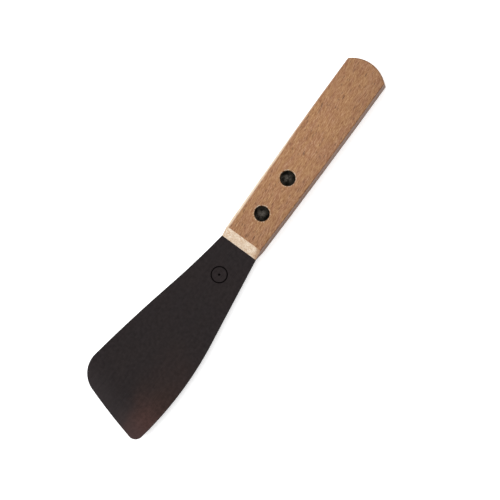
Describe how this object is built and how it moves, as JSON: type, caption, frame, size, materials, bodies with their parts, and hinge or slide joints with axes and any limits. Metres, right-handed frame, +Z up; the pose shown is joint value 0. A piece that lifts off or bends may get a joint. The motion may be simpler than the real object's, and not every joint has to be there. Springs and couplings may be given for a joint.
{
  "type": "ink knife",
  "caption": "Ink knife with a flat wooden handle and a wide, flexible dark steel blade whose tip edge is skewed, riveted into a slot in the handle.",
  "frame": {"origin": "on the flat underside of the handle, on its centre line, halfway along the wood", "axes": "+X runs along the handle towards the blade's tip, +Y towards the side of the blade that reaches furthest forward, +Z up out of the handle's upper face"},
  "size_m": [0.2296, 0.0483, 0.014],
  "materials": {
    "handle_beech": "matte",
    "blade_steel": "satin",
    "rivet_steel": "satin"
  },
  "bodies": {
    "root": {"handle": "handle_beech", "blade": "blade_steel", "front_rivet_stud": "rivet_steel", "front_rivet_cap": "rivet_steel", "rear_rivet_stud": "rivet_steel", "rear_rivet_cap": "rivet_steel"}
  },
  "joints": []
}
